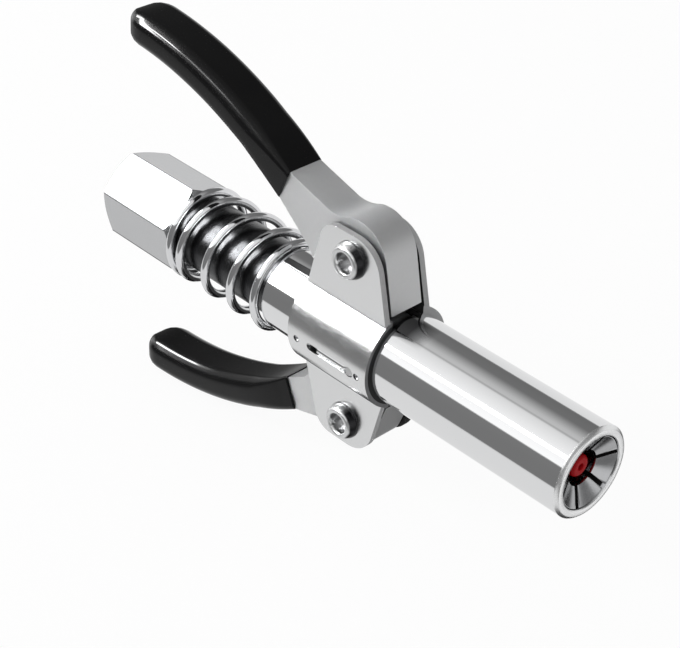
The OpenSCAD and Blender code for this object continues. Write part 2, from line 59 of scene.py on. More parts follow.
# Camera: a short telephoto view from above and in front of the nose, on the near side.
# Its place and turn are in the coupler's own frame, in metres.
camera_data = bpy.data.cameras.new("camera")
camera_data.sensor_width = 36
camera_data.lens = 94.387
camera = bpy.data.objects.new("camera", camera_data)
camera_right = Vector((0.68420, 0.72856, 0.03268)).normalized()
camera_ahead = Vector((-0.58912, 0.57854, -0.56411)).normalized()
camera_up = camera_right.cross(camera_ahead)
camera.matrix_world = Matrix((camera_right, camera_up, -camera_ahead)).transposed().to_4x4()
camera.location = (0.231904, -0.173653, 0.167818)
bpy.context.collection.objects.link(camera)
bpy.context.scene.camera = camera

# Inlet hex: a length of hexagon bar, chamfered at both ends on a lathe, bored through for the grease
# and tapped at its rear face for the hose or gun. It is nickel plated steel, duller than the sleeve.


class Finish:
    """A socket in a finish's node tree. Arithmetic on it adds Math nodes."""

    def __init__(self, tree, socket=None):
        self.tree = tree
        self.socket = socket

    def node(self, kind, settings, sockets, output=0):
        """Adds a node: its settings first, then the value or link of each socket."""
        added = self.tree.nodes.new("ShaderNode" + kind)
        for name, value in settings.items():
            if name != "stops":
                setattr(added, name, value)
                continue
            ramp = added.color_ramp.elements
            while len(ramp) < len(value):
                ramp.new(1.0)
            for stop, (place, shade) in zip(ramp, value):
                stop.position = place
                stop.color = (*shade, 1.0)
        for name, value in sockets.items():
            if isinstance(value, Finish):
                self.tree.links.new(value.socket, added.inputs[name])
            else:
                added.inputs[name].default_value = value
        return Finish(self.tree, added.outputs[output])

    def feeds(self, shader, name):
        """Links this socket to an input of a shader."""
        self.tree.links.new(self.socket, shader.inputs[name])

    def sum_of(self, operation, first, second):
        """Adds a Math node."""
        return self.node("Math", {"operation": operation}, {0: first, 1: second})

    def __add__(self, other):
        return self.sum_of("ADD", self, other)

    def __radd__(self, other):
        return self.sum_of("ADD", other, self)

    def __sub__(self, other):
        return self.sum_of("SUBTRACT", self, other)

    def __mul__(self, other):
        return self.sum_of("MULTIPLY", self, other)

    def __rmul__(self, other):
        return self.sum_of("MULTIPLY", other, self)


def new_finish(name, **values):
    """A material with a Principled shader, its even values set on the shader's own sockets."""
    material = bpy.data.materials.new(name)
    material.use_nodes = True
    shader = material.node_tree.nodes["Principled BSDF"]
    for socket, value in values.items():
        shader.inputs[socket.replace("_", " ")].default_value = value
    return material, Finish(material.node_tree), shader


def grain(finish, stretch, scale, detail=3.0):
    """Noise on Object coordinates, stretched along the way that a surface was worked."""
    where = finish.node("TexCoord", {}, {}, "Object")
    drawn = finish.node("Mapping", {}, {"Vector": where, "Scale": stretch})
    return finish.node("TexNoise", {}, {"Vector": drawn, "Scale": scale, "Detail": detail})


def shades(finish, mask, first, second):
    """A colour between two by a mask. Each of the two is a socket or three values."""
    first, second = [tint if isinstance(tint, Finish) else (*tint, 1) for tint in (first, second)]
    return finish.node("Mix", {"data_type": "RGBA"}, {0: mask, 6: first, 7: second}, 2)


def emboss(finish, shader, height, strength, depth=0.0001):
    """Raises a height from the surface through the shader's normal."""
    bump = finish.node("Bump", {}, {"Strength": strength, "Distance": depth, "Height": height})
    bump.feeds(shader, "Normal")


def metal(name, dark, light, rough, spread, stretch, scale, relief):
    """A metal finish: colour and roughness vary with its working marks, which also stand in relief."""
    material, finish, shader = new_finish(name, Metallic=1.0)
    marks = grain(finish, stretch, scale)
    cloud = grain(finish, (1, 1, 1), 160.0, 2.0)
    shades(finish, marks * 0.6 + cloud * 0.4, dark, light).feeds(shader, "Base Color")
    (rough + spread * (marks + cloud - 1.0)).feeds(shader, "Roughness")
    emboss(finish, shader, marks, relief)
    return material


def turned(profile, steps=144, start=0.0):
    """A closed profile of (distance along X, radius) pairs in millimetres, turned about the X axis."""
    shape = bmesh.new()
    start = math.radians(start)
    ring = [shape.verts.new((x, r * math.cos(start), r * math.sin(start))) for x, r in profile]
    rim = [shape.edges.new(pair) for pair in zip(ring, ring[1:] + ring[:1])]
    bmesh.ops.spin(
        shape, geom=ring + rim, cent=(0, 0, 0), axis=(1, 0, 0),
        angle=2 * math.pi, steps=steps, use_merge=True,
    )
    return closed(shape)


def closed(shape):
    """Merges what spinning or cutting left double, and points the faces outwards."""
    bmesh.ops.remove_doubles(shape, verts=shape.verts, dist=0.0005)
    bmesh.ops.recalc_face_normals(shape, faces=shape.faces)
    return shape


def ease(shape, size, segments=2, angle=30.0, keep=None):
    """Breaks the edges that are sharper than an angle, as a deburring wheel does."""
    sharp = [
        edge for edge in shape.edges
        if len(edge.link_faces) == 2 and edge.calc_face_angle(0.0) > math.radians(angle)
        and (keep is None or keep(edge))
    ]
    bmesh.ops.bevel(
        shape, geom=sharp, offset=size, offset_type="OFFSET", segments=segments, profile=0.5,
        affect="EDGES", clamp_overlap=True, material=-1,
    )
    return shape


def loose(shape, name="loose"):
    """An object that holds a shape. The shape itself is freed."""
    mesh = bpy.data.meshes.new(name)
    shape.to_mesh(mesh)
    shape.free()
    thing = bpy.data.objects.new(name, mesh)
    bpy.context.collection.objects.link(thing)
    return thing


def carved(shape, tools, operation="DIFFERENCE"):
    """The shape with each tool cut from it, or welded to it."""
    blank = loose(shape)
    cutters = [loose(tool) for tool in tools]
    for cutter in cutters:
        cut = blank.modifiers.new("cut", "BOOLEAN")
        cut.operation = operation
        cut.solver = "EXACT"
        cut.object = cutter
    result = bmesh.new()
    result.from_object(blank, bpy.context.evaluated_depsgraph_get())
    for thing in [blank] + cutters:
        mesh = thing.data
        bpy.data.objects.remove(thing)
        bpy.data.meshes.remove(mesh)
    return closed(result)


def piece(name, shape, finish, body, slot, *nodes, crease=28.0):
    """A finished piece from a shape in millimetres: smooth but for its creases, and riding on a body.

    Faces marked with 1, 2 or 3 take the second, third or fourth finish, where there is one.
    """
    shape.transform(Matrix.Scale(0.001, 4))
    thing = loose(shape, name)
    mesh = thing.data
    mesh.polygons.foreach_set("use_smooth", [True] * len(mesh.polygons))
    mesh.set_sharp_from_angle(angle=math.radians(crease))
    for layer in finish if isinstance(finish, tuple) else (finish,):
        mesh.materials.append(layer)
    even = thing.modifiers.new("even", "WEIGHTED_NORMAL")
    even.keep_sharp = True
    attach(thing, body)
    if nodes:
        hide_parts(*nodes)
    return thing


hex_flats = 15.3
hex_length = 19.0
hex_turn = 40.0
tap_r, tap_depth = 4.35, 10.5
socket_r, socket_x = 5.26, 13.0
bore_r = 1.8
hex_chamfer = math.tan(math.radians(30))
hex_half = hex_flats / 2
hex_corner_r = hex_half / math.cos(math.radians(30))
hex_face_r = hex_half - 0.2
hex_shape = turned(
    [
        (0, tap_r), (0, hex_face_r), (0.5, hex_corner_r), (hex_length - 0.5, hex_corner_r),
        (hex_length, hex_face_r), (hex_length, socket_r), (socket_x, socket_r), (socket_x, bore_r),
        (tap_depth, bore_r), (tap_depth, tap_r),
    ],
    steps=120, start=hex_turn,
)
for vert in hex_shape.verts:
    reach = math.hypot(vert.co.y, vert.co.z)
    if reach > hex_face_r + 0.1:
        around = (math.degrees(math.atan2(vert.co.z, vert.co.y)) - hex_turn) % 60 - 30
        flat_reach = hex_half / math.cos(math.radians(around))
        set_back = (flat_reach - hex_face_r) * hex_chamfer
        vert.co.y *= flat_reach / reach
        vert.co.z *= flat_reach / reach
        vert.co.x = set_back if vert.co.x < hex_length / 2 else hex_length - set_back
# Only the edges round the ends and the bores are broken, so the six long corners stay sharp.
ease(hex_shape, 0.12, angle=20.0)


def sliced(shape, place, outward):
    """Cuts away what lies past a plane, and leaves the cut open."""
    bmesh.ops.bisect_plane(
        shape, geom=shape.verts[:] + shape.edges[:] + shape.faces[:], dist=1e-5,
        plane_co=place, plane_no=outward, clear_outer=True,
    )
    return shape


thread_pitch = 0.94
thread_steps = 48
thread_turns = 13
thread_form = ((0.0, 4.32), (0.3, 4.9), (0.45, 4.9), (0.75, 4.32))
thread = bmesh.new()
thread_line = []
for turn in range(thread_turns):
    for along, radius in thread_form:
        thread_line.append(thread.verts.new(((turn - 2 + along) * thread_pitch, radius, 0)))
thread_rim = [thread.edges.new(pair) for pair in zip(thread_line, thread_line[1:])]
bmesh.ops.spin(
    thread, geom=thread_line + thread_rim, cent=(0, 0, 0), axis=(1, 0, 0), angle=2 * math.pi,
    steps=thread_steps, dvec=(thread_pitch / thread_steps, 0, 0), use_merge=False,
)
bmesh.ops.remove_doubles(thread, verts=thread.verts, dist=0.001)
for end_x, outward in ((-0.3, -1), (8.2, 1)):
    sliced(thread, (end_x, 0, 0), (outward, 0, 0))
    open_edges = [edge for edge in thread.edges if edge.is_boundary and all(
        abs(vert.co.x - end_x) < 1e-3 for vert in edge.verts)]
    bmesh.ops.edgeloop_fill(thread, edges=open_edges)
hex_shape = carved(hex_shape, [closed(thread)])

hex_nickel = metal(
    "hex_nickel", (0.56, 0.565, 0.575), (0.63, 0.635, 0.645), 0.16, 0.05, (40, 1, 1), 900.0, 0.05)


def places(finish):
    """The object's X, Y and Z in metres."""
    where = finish.node("TexCoord", {}, {}, "Object")
    return [finish.node("SeparateXYZ", {}, {0: where}, axis) for axis in range(3)]


def fade(finish, value, low, high):
    """0 where a socket has one value, 1 where it has another."""
    return finish.node("MapRange", {}, {"Value": value, "From Min": low, "From Max": high})


def paint_shade_over(material, mask, colour):
    """Mixes a dark colour into a finish by a mask made from the object's X, Y and Z in metres, as painted
    shade.
    """
    finish = Finish(material.node_tree)
    shader = material.node_tree.nodes["Principled BSDF"]
    clean = Finish(material.node_tree, shader.inputs["Base Color"].links[0].from_socket)
    shades(finish, mask(finish, *places(finish)), clean, colour).feeds(shader, "Base Color")


def painted_corner_shade(finish, x, y, z):
    """A thin band along the hex's six corners, where a dark line is painted as shade."""
    reach = finish.sum_of("POWER", y * y + z * z, 0.5)
    return fade(finish, reach, 0.00869, 0.00874)


# Painted shade: a thin dark line along the hex's six corners.
paint_shade_over(hex_nickel, painted_corner_shade, (0.1, 0.1, 0.104))
piece("inlet_hex", hex_shape, hex_nickel, "core", "chrome_plate", "inlet_hex_body", crease=22.0)

# Core tube: the turned steel tube that everything slides on, screwed into the hex at its rear.
# It is dark steel, its colour made darker still as painted shade for the coils' shadow, and between the
# coils it shows a short bright highlight.
core_shape = turned([
    (13.8, 3.2), (13.8, 5.2), (hex_length, 5.2), (hex_length, 6.5), (60.1, 6.5), (60.1, 5.0),
    (63.2, 5.0), (63.2, 6.5), (84.6, 6.5), (84.6, 4.26), (76.6, 4.26), (76.6, 3.2), (71.1, 3.2),
    (71.1, 2.65), (65.8, 2.65), (65.8, bore_r), (30.8, bore_r), (30.8, 3.2),
])
ease(core_shape, 0.1)
core_shaded_steel = metal(
    "core_shaded_steel", (0.05, 0.051, 0.053), (0.075, 0.076, 0.079), 0.27, 0.05, (60, 1, 1), 700.0, 0.06)
piece("core", core_shape, core_shaded_steel, "core", "core_steel", "core_tube")

# Copper washer and check ball: they sit inside the hex, the washer flat between the hex and the core.
# They keep their CAD shapes, and each gets the finish of its own metal.


def coat(node, material):
    """Gives a finish to a node that keeps its CAD shape."""
    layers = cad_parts[node].data.materials
    layers.clear()
    layers.append(material)


copper = metal("copper", (0.62, 0.27, 0.14), (0.78, 0.42, 0.26), 0.28, 0.10, (1, 1, 1), 1500.0, 0.08)
ball_steel = metal(
    "ball_steel", (0.62, 0.62, 0.64), (0.74, 0.74, 0.76), 0.06, 0.03, (1, 1, 1), 900.0, 0.02)
coat("inlet_washer", copper)
coat("check_ball", ball_steel)

# Main spring: plated round wire wound left-handed, closed at both ends, between the hex and the sleeve.
# It shortens as the levers draw the sleeve back; here it is built at one length only.


def capped(shape):
    """Fills the open ends of a shape."""
    bmesh.ops.holes_fill(shape, edges=[edge for edge in shape.edges if edge.is_boundary], sides=0)
    return shape


def wound(coil_r, wire_r, rear, front, shut, active, turn, steps, sides):
    """Round wire wound left-handed about X, starting at a turn in degrees.

    It has shut turns at its ends and active ones, a little wider apart at the rear, between them.
    """
    open_length = front - rear - 2 * wire_r * sum(shut)

    def along(turns):
        share = min(max(turns - shut[0], 0), active) / active
        closed_turns = min(turns, shut[0]) + max(turns - shut[0] - active, 0)
        return rear + 2 * wire_r * closed_turns + open_length * share * (1.02 - 0.02 * share)

    shape = bmesh.new()
    ring = bmesh.ops.create_circle(shape, segments=sides, radius=wire_r)["verts"]
    bmesh.ops.translate(shape, verts=ring, vec=(along(0), coil_r, 0))
    bmesh.ops.rotate(shape, verts=ring, cent=(0, 0, 0), matrix=Matrix.Rotation(math.radians(turn), 3, "X"))
    ring += list({edge for vert in ring for edge in vert.link_edges})
    for step in range(round((sum(shut) + active) * steps)):
        rise = along((step + 1) / steps) - along(step / steps)
        ring = bmesh.ops.spin(
            shape, geom=ring, cent=(0, 0, 0), axis=(1, 0, 0), angle=-2 * math.pi / steps,
            steps=1, dvec=(rise, 0, 0),
        )["geom_last"]
    return closed(capped(shape))


spring_coil_r, spring_wire_r = 8.2, 0.8
spring_rear, spring_front = 19.549, 43.012
spring_length, sleeve_travel = 24.7, 2.95
coil = wound(
    spring_coil_r, spring_wire_r, spring_rear, spring_front, shut=(1.0, 0.5), active=3.1, turn=255.0,
    steps=60, sides=20,
)
ease(coil, 0.2, segments=3, angle=60.0)
spring_chrome = metal(
    "spring_chrome", (0.78, 0.785, 0.8), (0.88, 0.885, 0.9), 0.08, 0.04, (1, 1, 1), 1200.0, 0.05)
coil_piece = piece("coil_spring", coil, spring_chrome, "core", "chrome_plate", "main_spring")
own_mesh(coil_piece)

# Check spring and seal spring: two small springs of plain drawn wire inside the core.
# One holds the ball on its seat and the other pushes the seal forward.
# Each shortens with what it pushes, towards the end that stands on the core; here each is built at one
# length only.
small_coil_r, small_wire_r = 2.15, 0.3
spring_steel = metal(
    "spring_steel", (0.5, 0.5, 0.52), (0.66, 0.66, 0.68), 0.2, 0.06, (1, 1, 1), 1400.0, 0.06)
for node, joint, rear, front, active, anchor, travel in (
    ("check_spring", "check_ball_lift", 16.05, 30.7, 5.0, 30.8, 1.55),
    ("seal_spring", "seal_slide", 65.9, 74.7, 4.0, 65.8, 3.6),
):
    small = wound(
        small_coil_r, small_wire_r, rear + small_wire_r, front - small_wire_r, shut=(1.0, 1.0),
        active=active, turn=0, steps=32, sides=12,
    )
    small_piece = piece(f"{node}_wire", small, spring_steel, "core", "spring_steel", node)
    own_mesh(small_piece)

# Jaw carrier: the collar screwed into the front of the core, which holds the heels of the jaws.
# It is turned steel that stays hidden in the sleeve, so it keeps its CAD shape.
core_steel = metal("core_steel", (0.4, 0.4, 0.42), (0.52, 0.52, 0.54), 0.3, 0.08, (60, 1, 1), 900.0, 0.1)
coat("jaw_carrier", core_steel)

# Jaws: six hardened collet segments cut from one turned blank with a slitting saw.
# Their funnel faces lead a grease nipple in, and the sleeve's cone closes their lips on its neck.


def dull(name, dark, light, scale=1600.0, rough=0.5, shine=0.25):
    """A finish with little shine of its own, as on a sheared face or on rubber; made near black, it also
    serves as painted shade.
    """
    material, finish, shader = new_finish(name, Specular_IOR_Level=shine)
    marks = grain(finish, (1, 1, 1), scale)
    shades(finish, marks, dark, light).feeds(shader, "Base Color")
    (rough + 0.2 * marks).feeds(shader, "Roughness")
    emboss(finish, shader, marks, 0.15)
    return material


jaw_count = 6
slit_half = 0.38
slit_turn = 10.0
jaw_profile = [
    (87.1, 3.1), (87.1, 4.6), (103.15, 4.6), (109.8, 6.205), (109.8, 6.1), (108.3, 3.1),
    (107.9, 3.1), (107.1, 3.65), (88.5, 3.65), (88.5, 3.1),
]
jaw_steel = metal(
    "jaw_steel", (0.36, 0.365, 0.375), (0.6, 0.605, 0.615), 0.2, 0.06, (1, 1, 1), 500.0, 0.12)
# The jaws' slit walls are near black: painted shade for the dark gaps between the jaws.
painted_shade_wall = dull("painted_shade_wall", (0.008, 0.008, 0.008), (0.016, 0.016, 0.017))
for number in range(1, jaw_count + 1):
    jaw = turned(jaw_profile, steps=120)
    for side in (-1, 1):
        turn = math.radians(slit_turn + (number - 0.5 + side * 0.5) * 360 / jaw_count)
        outward = Vector((0, -math.sin(turn), math.cos(turn))) * side
        capped(sliced(jaw, -outward * slit_half, outward))
    ease(closed(jaw), 0.05)
    for face in jaw.faces:
        where = face.calc_center_median()
        sideways = Vector((0, -where.z, where.y)).normalized()
        face.material_index = 1 if abs(face.normal.dot(sideways)) > 0.8 else 0
    piece(
        f"collet_jaw_{number}", jaw, (jaw_steel, painted_shade_wall), f"jaw_{number}", "jaw_steel", f"jaw_{number}",
    )

# Seal: a rubber tip on a sprung hollow stem, which presses on the nipple so that no grease leaks.
# The tip is moulded red rubber with a rounded edge and a small hole through it.
seal_rubber = dull(
    "seal_rubber", (0.30, 0.0, 0.003), (0.48, 0.001, 0.006), scale=2500.0, rough=0.36, shine=0.15)
stem_front, stem_r, seal_bore = 104.8, 1.9, 0.6
tip = turned([
    (stem_front, seal_bore), (stem_front, stem_r), (107.6, stem_r), (108.0, 1.5), (108.0, seal_bore),
], steps=64)
ease(tip, 0.12)
piece("seal_face", tip, seal_rubber, "seal", "seal_rubber", "seal_tip")
stem = turned([
    (74.8, seal_bore), (74.8, 3.14), (76.4, 3.14), (76.4, stem_r), (stem_front, stem_r),
    (stem_front, seal_bore),
], steps=64)
ease(stem, 0.1)
piece("seal_stem", stem, core_steel, "seal", "core_steel", "seal_plunger")

# Outer sleeve: a steel tube turned in two diameters, with a coned mouth, polished and chromed.
# Windows let the lever toes reach the core, and two slots run on the guide pins.


def block(low, high):
    """A rectangular cutter between two corners, in millimetres."""
    shape = bmesh.new()
    bmesh.ops.create_cube(shape, size=1.0)
    middle = (Vector(low) + Vector(high)) / 2
    spread = Vector(high) - Vector(low)
    bmesh.ops.scale(shape, verts=shape.verts, vec=spread)
    bmesh.ops.translate(shape, verts=shape.verts, vec=middle)
    return shape


def cross_pin(x, z, low, high, radius, segments=32):
    """A round bar along Y."""
    shape = bmesh.new()
    bmesh.ops.create_cone(
        shape, cap_ends=True, segments=segments, radius1=radius, radius2=radius, depth=high - low,
        matrix=Matrix.Translation((x, (low + high) / 2, z)) @ Matrix.Rotation(math.pi / 2, 4, "X"),
    )
    return shape


def cut_plate(parts, low, high):
    """A blank in X and Z, from points (x, z) and arcs (x, z, radius, from, to), between two Y."""
    shape = bmesh.new()
    chain = []
    for part in parts:
        if len(part) == 2:
            chain.append(shape.verts.new((part[0], low, part[1])))
            continue
        x, z, radius, first, last = part
        first, sweep = math.radians(first), math.radians(last - first)
        vert = shape.verts.new((x + radius * math.cos(first), low, z + radius * math.sin(first)))
        steps = max(4, math.ceil(abs(math.degrees(sweep)) / 5))
        bmesh.ops.spin(shape, geom=[vert], cent=(x, low, z), axis=(0, -1, 0), angle=sweep, steps=steps)
        shape.verts.ensure_lookup_table()
        chain += shape.verts[-steps - 1:]
    for pair in zip(chain, chain[1:] + chain[:1]):
        if not shape.edges.get(pair):
            shape.edges.new(pair)
    blank = bmesh.ops.contextual_create(shape, geom=shape.edges[:])["faces"]
    raised = bmesh.ops.extrude_face_region(shape, geom=blank)["geom"]
    bmesh.ops.translate(
        shape, verts=[item for item in raised if isinstance(item, bmesh.types.BMVert)],
        vec=(0, high - low, 0),
    )
    return closed(shape)


def oblong(x0, x1, z, radius, low, high):
    """A bar with round ends, to cut a slot along X."""
    return cut_plate([(x1, z, radius, -90, 90), (x0, z, radius, 90, 270)], low, high)


sleeve_rear = 43.7
nose_x = 110.1
mouth_x = nose_x - 0.8
bracket_front = 70.6
pivot_x = 62.0
pin_x, pin_z, slot_z = 57.5, 3.0, -0.8
dowel_places = (54.2, 68.5)
slot_r, dowel_hole_r = 0.7, 0.62
sleeve_shape = turned([
    (sleeve_rear, 6.56), (sleeve_rear, 7.7), (bracket_front, 7.7), (bracket_front, 8.0),
    (nose_x - 0.5, 8.0), (nose_x, 7.5), (nose_x, 6.4), (mouth_x, 6.2), (105.69, 5.3),
    (87.75, 5.3), (87.75, 6.56),
], steps=180)
ease(sleeve_shape, 0.14, segments=3)
sleeve_tools = [
    block((pivot_x - 1.7, -2.2, -9), (pivot_x + 4.75, 2.2, 9)),
    oblong(pin_x, pin_x + 3.15, pin_z, slot_r, -9, 9),
    cross_pin(pin_x, slot_z, -9, 9, slot_r),
]
sleeve_tools += [cross_pin(x, slot_z, -9, 9, dowel_hole_r) for x in dowel_places]
sleeve_shape = carved(sleeve_shape, sleeve_tools)
sleeve_chrome = metal(
    "sleeve_chrome", (0.86, 0.865, 0.875), (0.9, 0.905, 0.91), 0.035, 0.02, (80, 1, 1), 600.0, 0.02)


def painted_top_shade(finish, x, y, z):
    """The sleeve's top just ahead of the bracket, between the ears, where shade from the lever is painted.
    """
    turn = finish.sum_of("ARCTAN2", z, y) * (180 / math.pi)
    share = fade(finish, x, 0.0775, 0.0735)
    for value, low, high in ((x, 0.0696, 0.0704), (turn, 80, 88), (turn, 123, 114)):
        share = share * fade(finish, value, low, high)
    return share


# Painted shade: the sleeve's top darkens just ahead of the bracket.
paint_shade_over(sleeve_chrome, painted_top_shade, (0.11, 0.11, 0.112))
nose_satin = metal(
    "nose_satin", (0.9, 0.905, 0.91), (0.94, 0.945, 0.95), 0.28, 0.05, (1, 1, 1), 1800.0, 0.05)
on_chrome, on_satin, on_shaded_bore, on_steel = range(4)
# Faces inside the bore behind the mouth take the near-black wall finish, as painted shade.
for face in sleeve_shape.faces:
    where = face.calc_center_median()
    reach = math.hypot(where.y, where.z)
    if where.x > 84 and reach < 6.35:
        face.material_index = on_shaded_bore if where.x < mouth_x else on_steel
    else:
        face.material_index = on_satin if where.x > nose_x - 0.62 else on_chrome
piece(
    "sleeve", sleeve_shape, (sleeve_chrome, nose_satin, painted_shade_wall, jaw_steel), "sleeve", "chrome_plate",
    "outer_sleeve",
)

# Guide pins: two short hardened pins pressed into the core, which keep the sleeve from turning.
# Their ends stand in the sleeve's slots, under the bracket.
pin_steel = metal("pin_steel", (0.5, 0.5, 0.52), (0.66, 0.66, 0.68), 0.22, 0.06, (1, 1, 1), 1500.0, 0.06)
pins = cross_pin(pin_x, pin_z, -6.6, -3.5, 0.6)
pins = carved(pins, [cross_pin(pin_x, pin_z, 3.5, 6.6, 0.6)], "UNION")
ease(pins, 0.1)
piece("guide_pin_pair", pins, pin_steel, "core", "rivet_steel", "guide_pins")

# Bracket: two halves pressed from steel sheet, each a wrap round one side of the sleeve's neck and
# two flat ears that carry the levers. They are satin nickel plated and pinned to the neck.
bracket_rear = 52.1
upper_pivot, lower_pivot = 16.6, 15.3
plug_x, plug_hole_r = pin_x + 9.2, 0.95
wrap_in, wrap_rim_r, wrap_out = 7.72, 8.55, 9.22
underside_z = -5.2
ear_in, ear_face, ear_out = 3.5, 3.9, 5.0
ear_rise = 4.6
ear_root = math.sqrt(wrap_out ** 2 - ear_out ** 2) - 0.4
ear_foot = math.sqrt(wrap_in ** 2 - ear_in ** 2) + 0.1


def touch(corner, point, side):
    """Angle at which the line from a point touches a round corner."""
    x, z, radius = corner
    dx, dz = point[0] - x, point[1] - z
    return math.degrees(math.atan2(dz, dx) + side * math.acos(radius / math.hypot(dx, dz)))


satin_plate = metal(
    "satin_plate", (0.8, 0.805, 0.81), (0.86, 0.865, 0.87), 0.22, 0.05, (1, 1, 1), 1800.0, 0.05)
sheared_edge = dull("sheared_edge", (0.36, 0.362, 0.366), (0.46, 0.462, 0.466))
# The near-black edge finish and the dark grey rim finish are painted shade for gaps and edges that lie in
# shadow.
painted_shade_edge = dull("painted_shade_edge", (0.012, 0.012, 0.012), (0.026, 0.026, 0.027))
shaded_wrap_rim = dull("shaded_wrap_rim", (0.13, 0.131, 0.134), (0.2, 0.202, 0.206))
on_plate, on_sheared, on_painted_shade, on_shaded_rim = range(4)
for name, side in (("near", -1), ("far", 1)):
    wrap = turned([
        (bracket_rear, wrap_in), (bracket_rear, wrap_out), (bracket_front, wrap_out),
        (bracket_front, wrap_rim_r), (bracket_front, wrap_in),
    ], steps=144)
    closed(capped(sliced(wrap, (0, side * ear_in, 0), (0, -side, 0))))
    low, high = sorted((side * ear_face, side * ear_out))
    ears = []
    for up, pivot in ((1, upper_pivot), (-1, lower_pivot)):
        front_corner = (pivot_x + 0.9, pivot + ear_rise - 5.8, 5.8)
        rear_corner = (pivot_x - 3.4, pivot + ear_rise - 3.8, 3.8)
        ear = cut_plate([
            (bracket_rear, ear_foot), (bracket_rear, ear_root),
            (*rear_corner, touch(rear_corner, (bracket_rear, ear_root), -1) + 360, 90),
            (*front_corner, 90, touch(front_corner, (bracket_front, ear_root), 1)),
            (bracket_front, ear_root), (bracket_front, ear_foot),
        ], low, high)
        bmesh.ops.scale(ear, verts=ear.verts, vec=(1, 1, up))
        ears.append(closed(ear))
    half = carved(wrap, ears, "UNION")
    through = sorted((0, side * 12))
    holes = [
        oblong(pin_x, plug_x, slot_z, slot_r, *through), cross_pin(plug_x, slot_z, *through, plug_hole_r),
    ]
    holes += [cross_pin(x, slot_z, *through, dowel_hole_r) for x in dowel_places]
    half = carved(half, holes)
    ease(half, 0.16, segments=3, keep=lambda edge: edge.is_convex)
    # Painted shade: the ears' inner faces, the dowel holes, the far lower ear's rim, and the near wrap's
    # inner face, underside and the inner half of its ends go near black; the outer half of those ends is
    # dark grey.
    for face in half.faces:
        where = face.calc_center_median()
        reach = math.hypot(where.y, where.z)
        on_end = min(where.x - bracket_rear, bracket_front - where.x) < 0.15
        at_dowel = min(abs(where.x - place) for place in dowel_places) < 0.7 and abs(where.z - slot_z) < 0.7
        if face.normal.y * side < -0.9 or at_dowel and abs(face.normal.y) < 0.5:
            face.material_index = on_painted_shade
        elif reach > wrap_out + 0.05 and abs(face.normal.y) < 0.5:
            face.material_index = on_painted_shade if side > 0 and where.z < 0 else on_sheared
        elif reach > wrap_out + 0.05:
            face.material_index = on_plate
        elif on_end or reach < wrap_in + 0.05:
            face.material_index = on_sheared if side > 0 else on_painted_shade if reach < wrap_rim_r else on_shaded_rim
        elif where.z > underside_z:
            face.material_index = on_plate
        else:
            face.material_index = on_sheared if side > 0 else on_painted_shade
    piece(
        f"bracket_half_{name}", half, (satin_plate, sheared_edge, painted_shade_edge, shaded_wrap_rim), "sleeve",
        "satin_plate", f"bracket_{name}",
    )

# Dowel pins: four short pins driven through the bracket into the sleeve's neck.
# Their ends are dimpled by the punch and sit just below the bracket's face.


def across(profile, side, x, z, steps=40):
    """A profile of (distance out from the axis, radius) pairs, turned about a line along Y."""
    shape = turned(profile, steps=steps)
    turn = Matrix.Rotation(side * math.pi / 2, 3, "Z")
    bmesh.ops.rotate(shape, verts=shape.verts, cent=(0, 0, 0), matrix=turn)
    bmesh.ops.translate(shape, verts=shape.verts, vec=(x, 0, z))
    return shape


dowel_profile = [(6.8, 0.0001), (6.8, 0.6), (8.9, 0.6), (8.9, 0.5), (8.4, 0.0001)]
dowels = [across(dowel_profile, side, x, slot_z) for x in dowel_places for side in (-1, 1)]
dowels = carved(dowels[0], dowels[1:], "UNION")
piece("dowel_pins", dowels, pin_steel, "sleeve", "rivet_steel", "bracket_dowel_pins")

# Slot keys: a bright round key lies in each of the bracket's slots, held by a flat plug at the front end.
# Both are press fits. The key is chromed, and the plug is dull and lies just below the bracket's face.
key_r, key_out = 0.66, 8.44
for name, side in (("near", -1), ("far", 1)):
    key_bar = turned([
        (pin_x + 1.4, 0.0001), (pin_x + 1.4, 0.4), (pin_x + 1.65, key_r), (pin_x + 7.95, key_r),
        (pin_x + 8.2, 0.4), (pin_x + 8.2, 0.0001),
    ], steps=32)
    bmesh.ops.translate(key_bar, verts=key_bar.verts, vec=(0, side * key_out, slot_z))
    piece(f"slot_key_{name}", key_bar, sleeve_chrome, "sleeve", "rivet_steel")
    plug = across(
        [(7.9, 0.0001), (7.9, 0.8), (9.0, 0.8), (9.08, 0.72), (9.08, 0.0001)], side, plug_x, slot_z)
    piece(f"slot_plug_{name}", plug, sheared_edge, "sleeve", "rivet_steel")

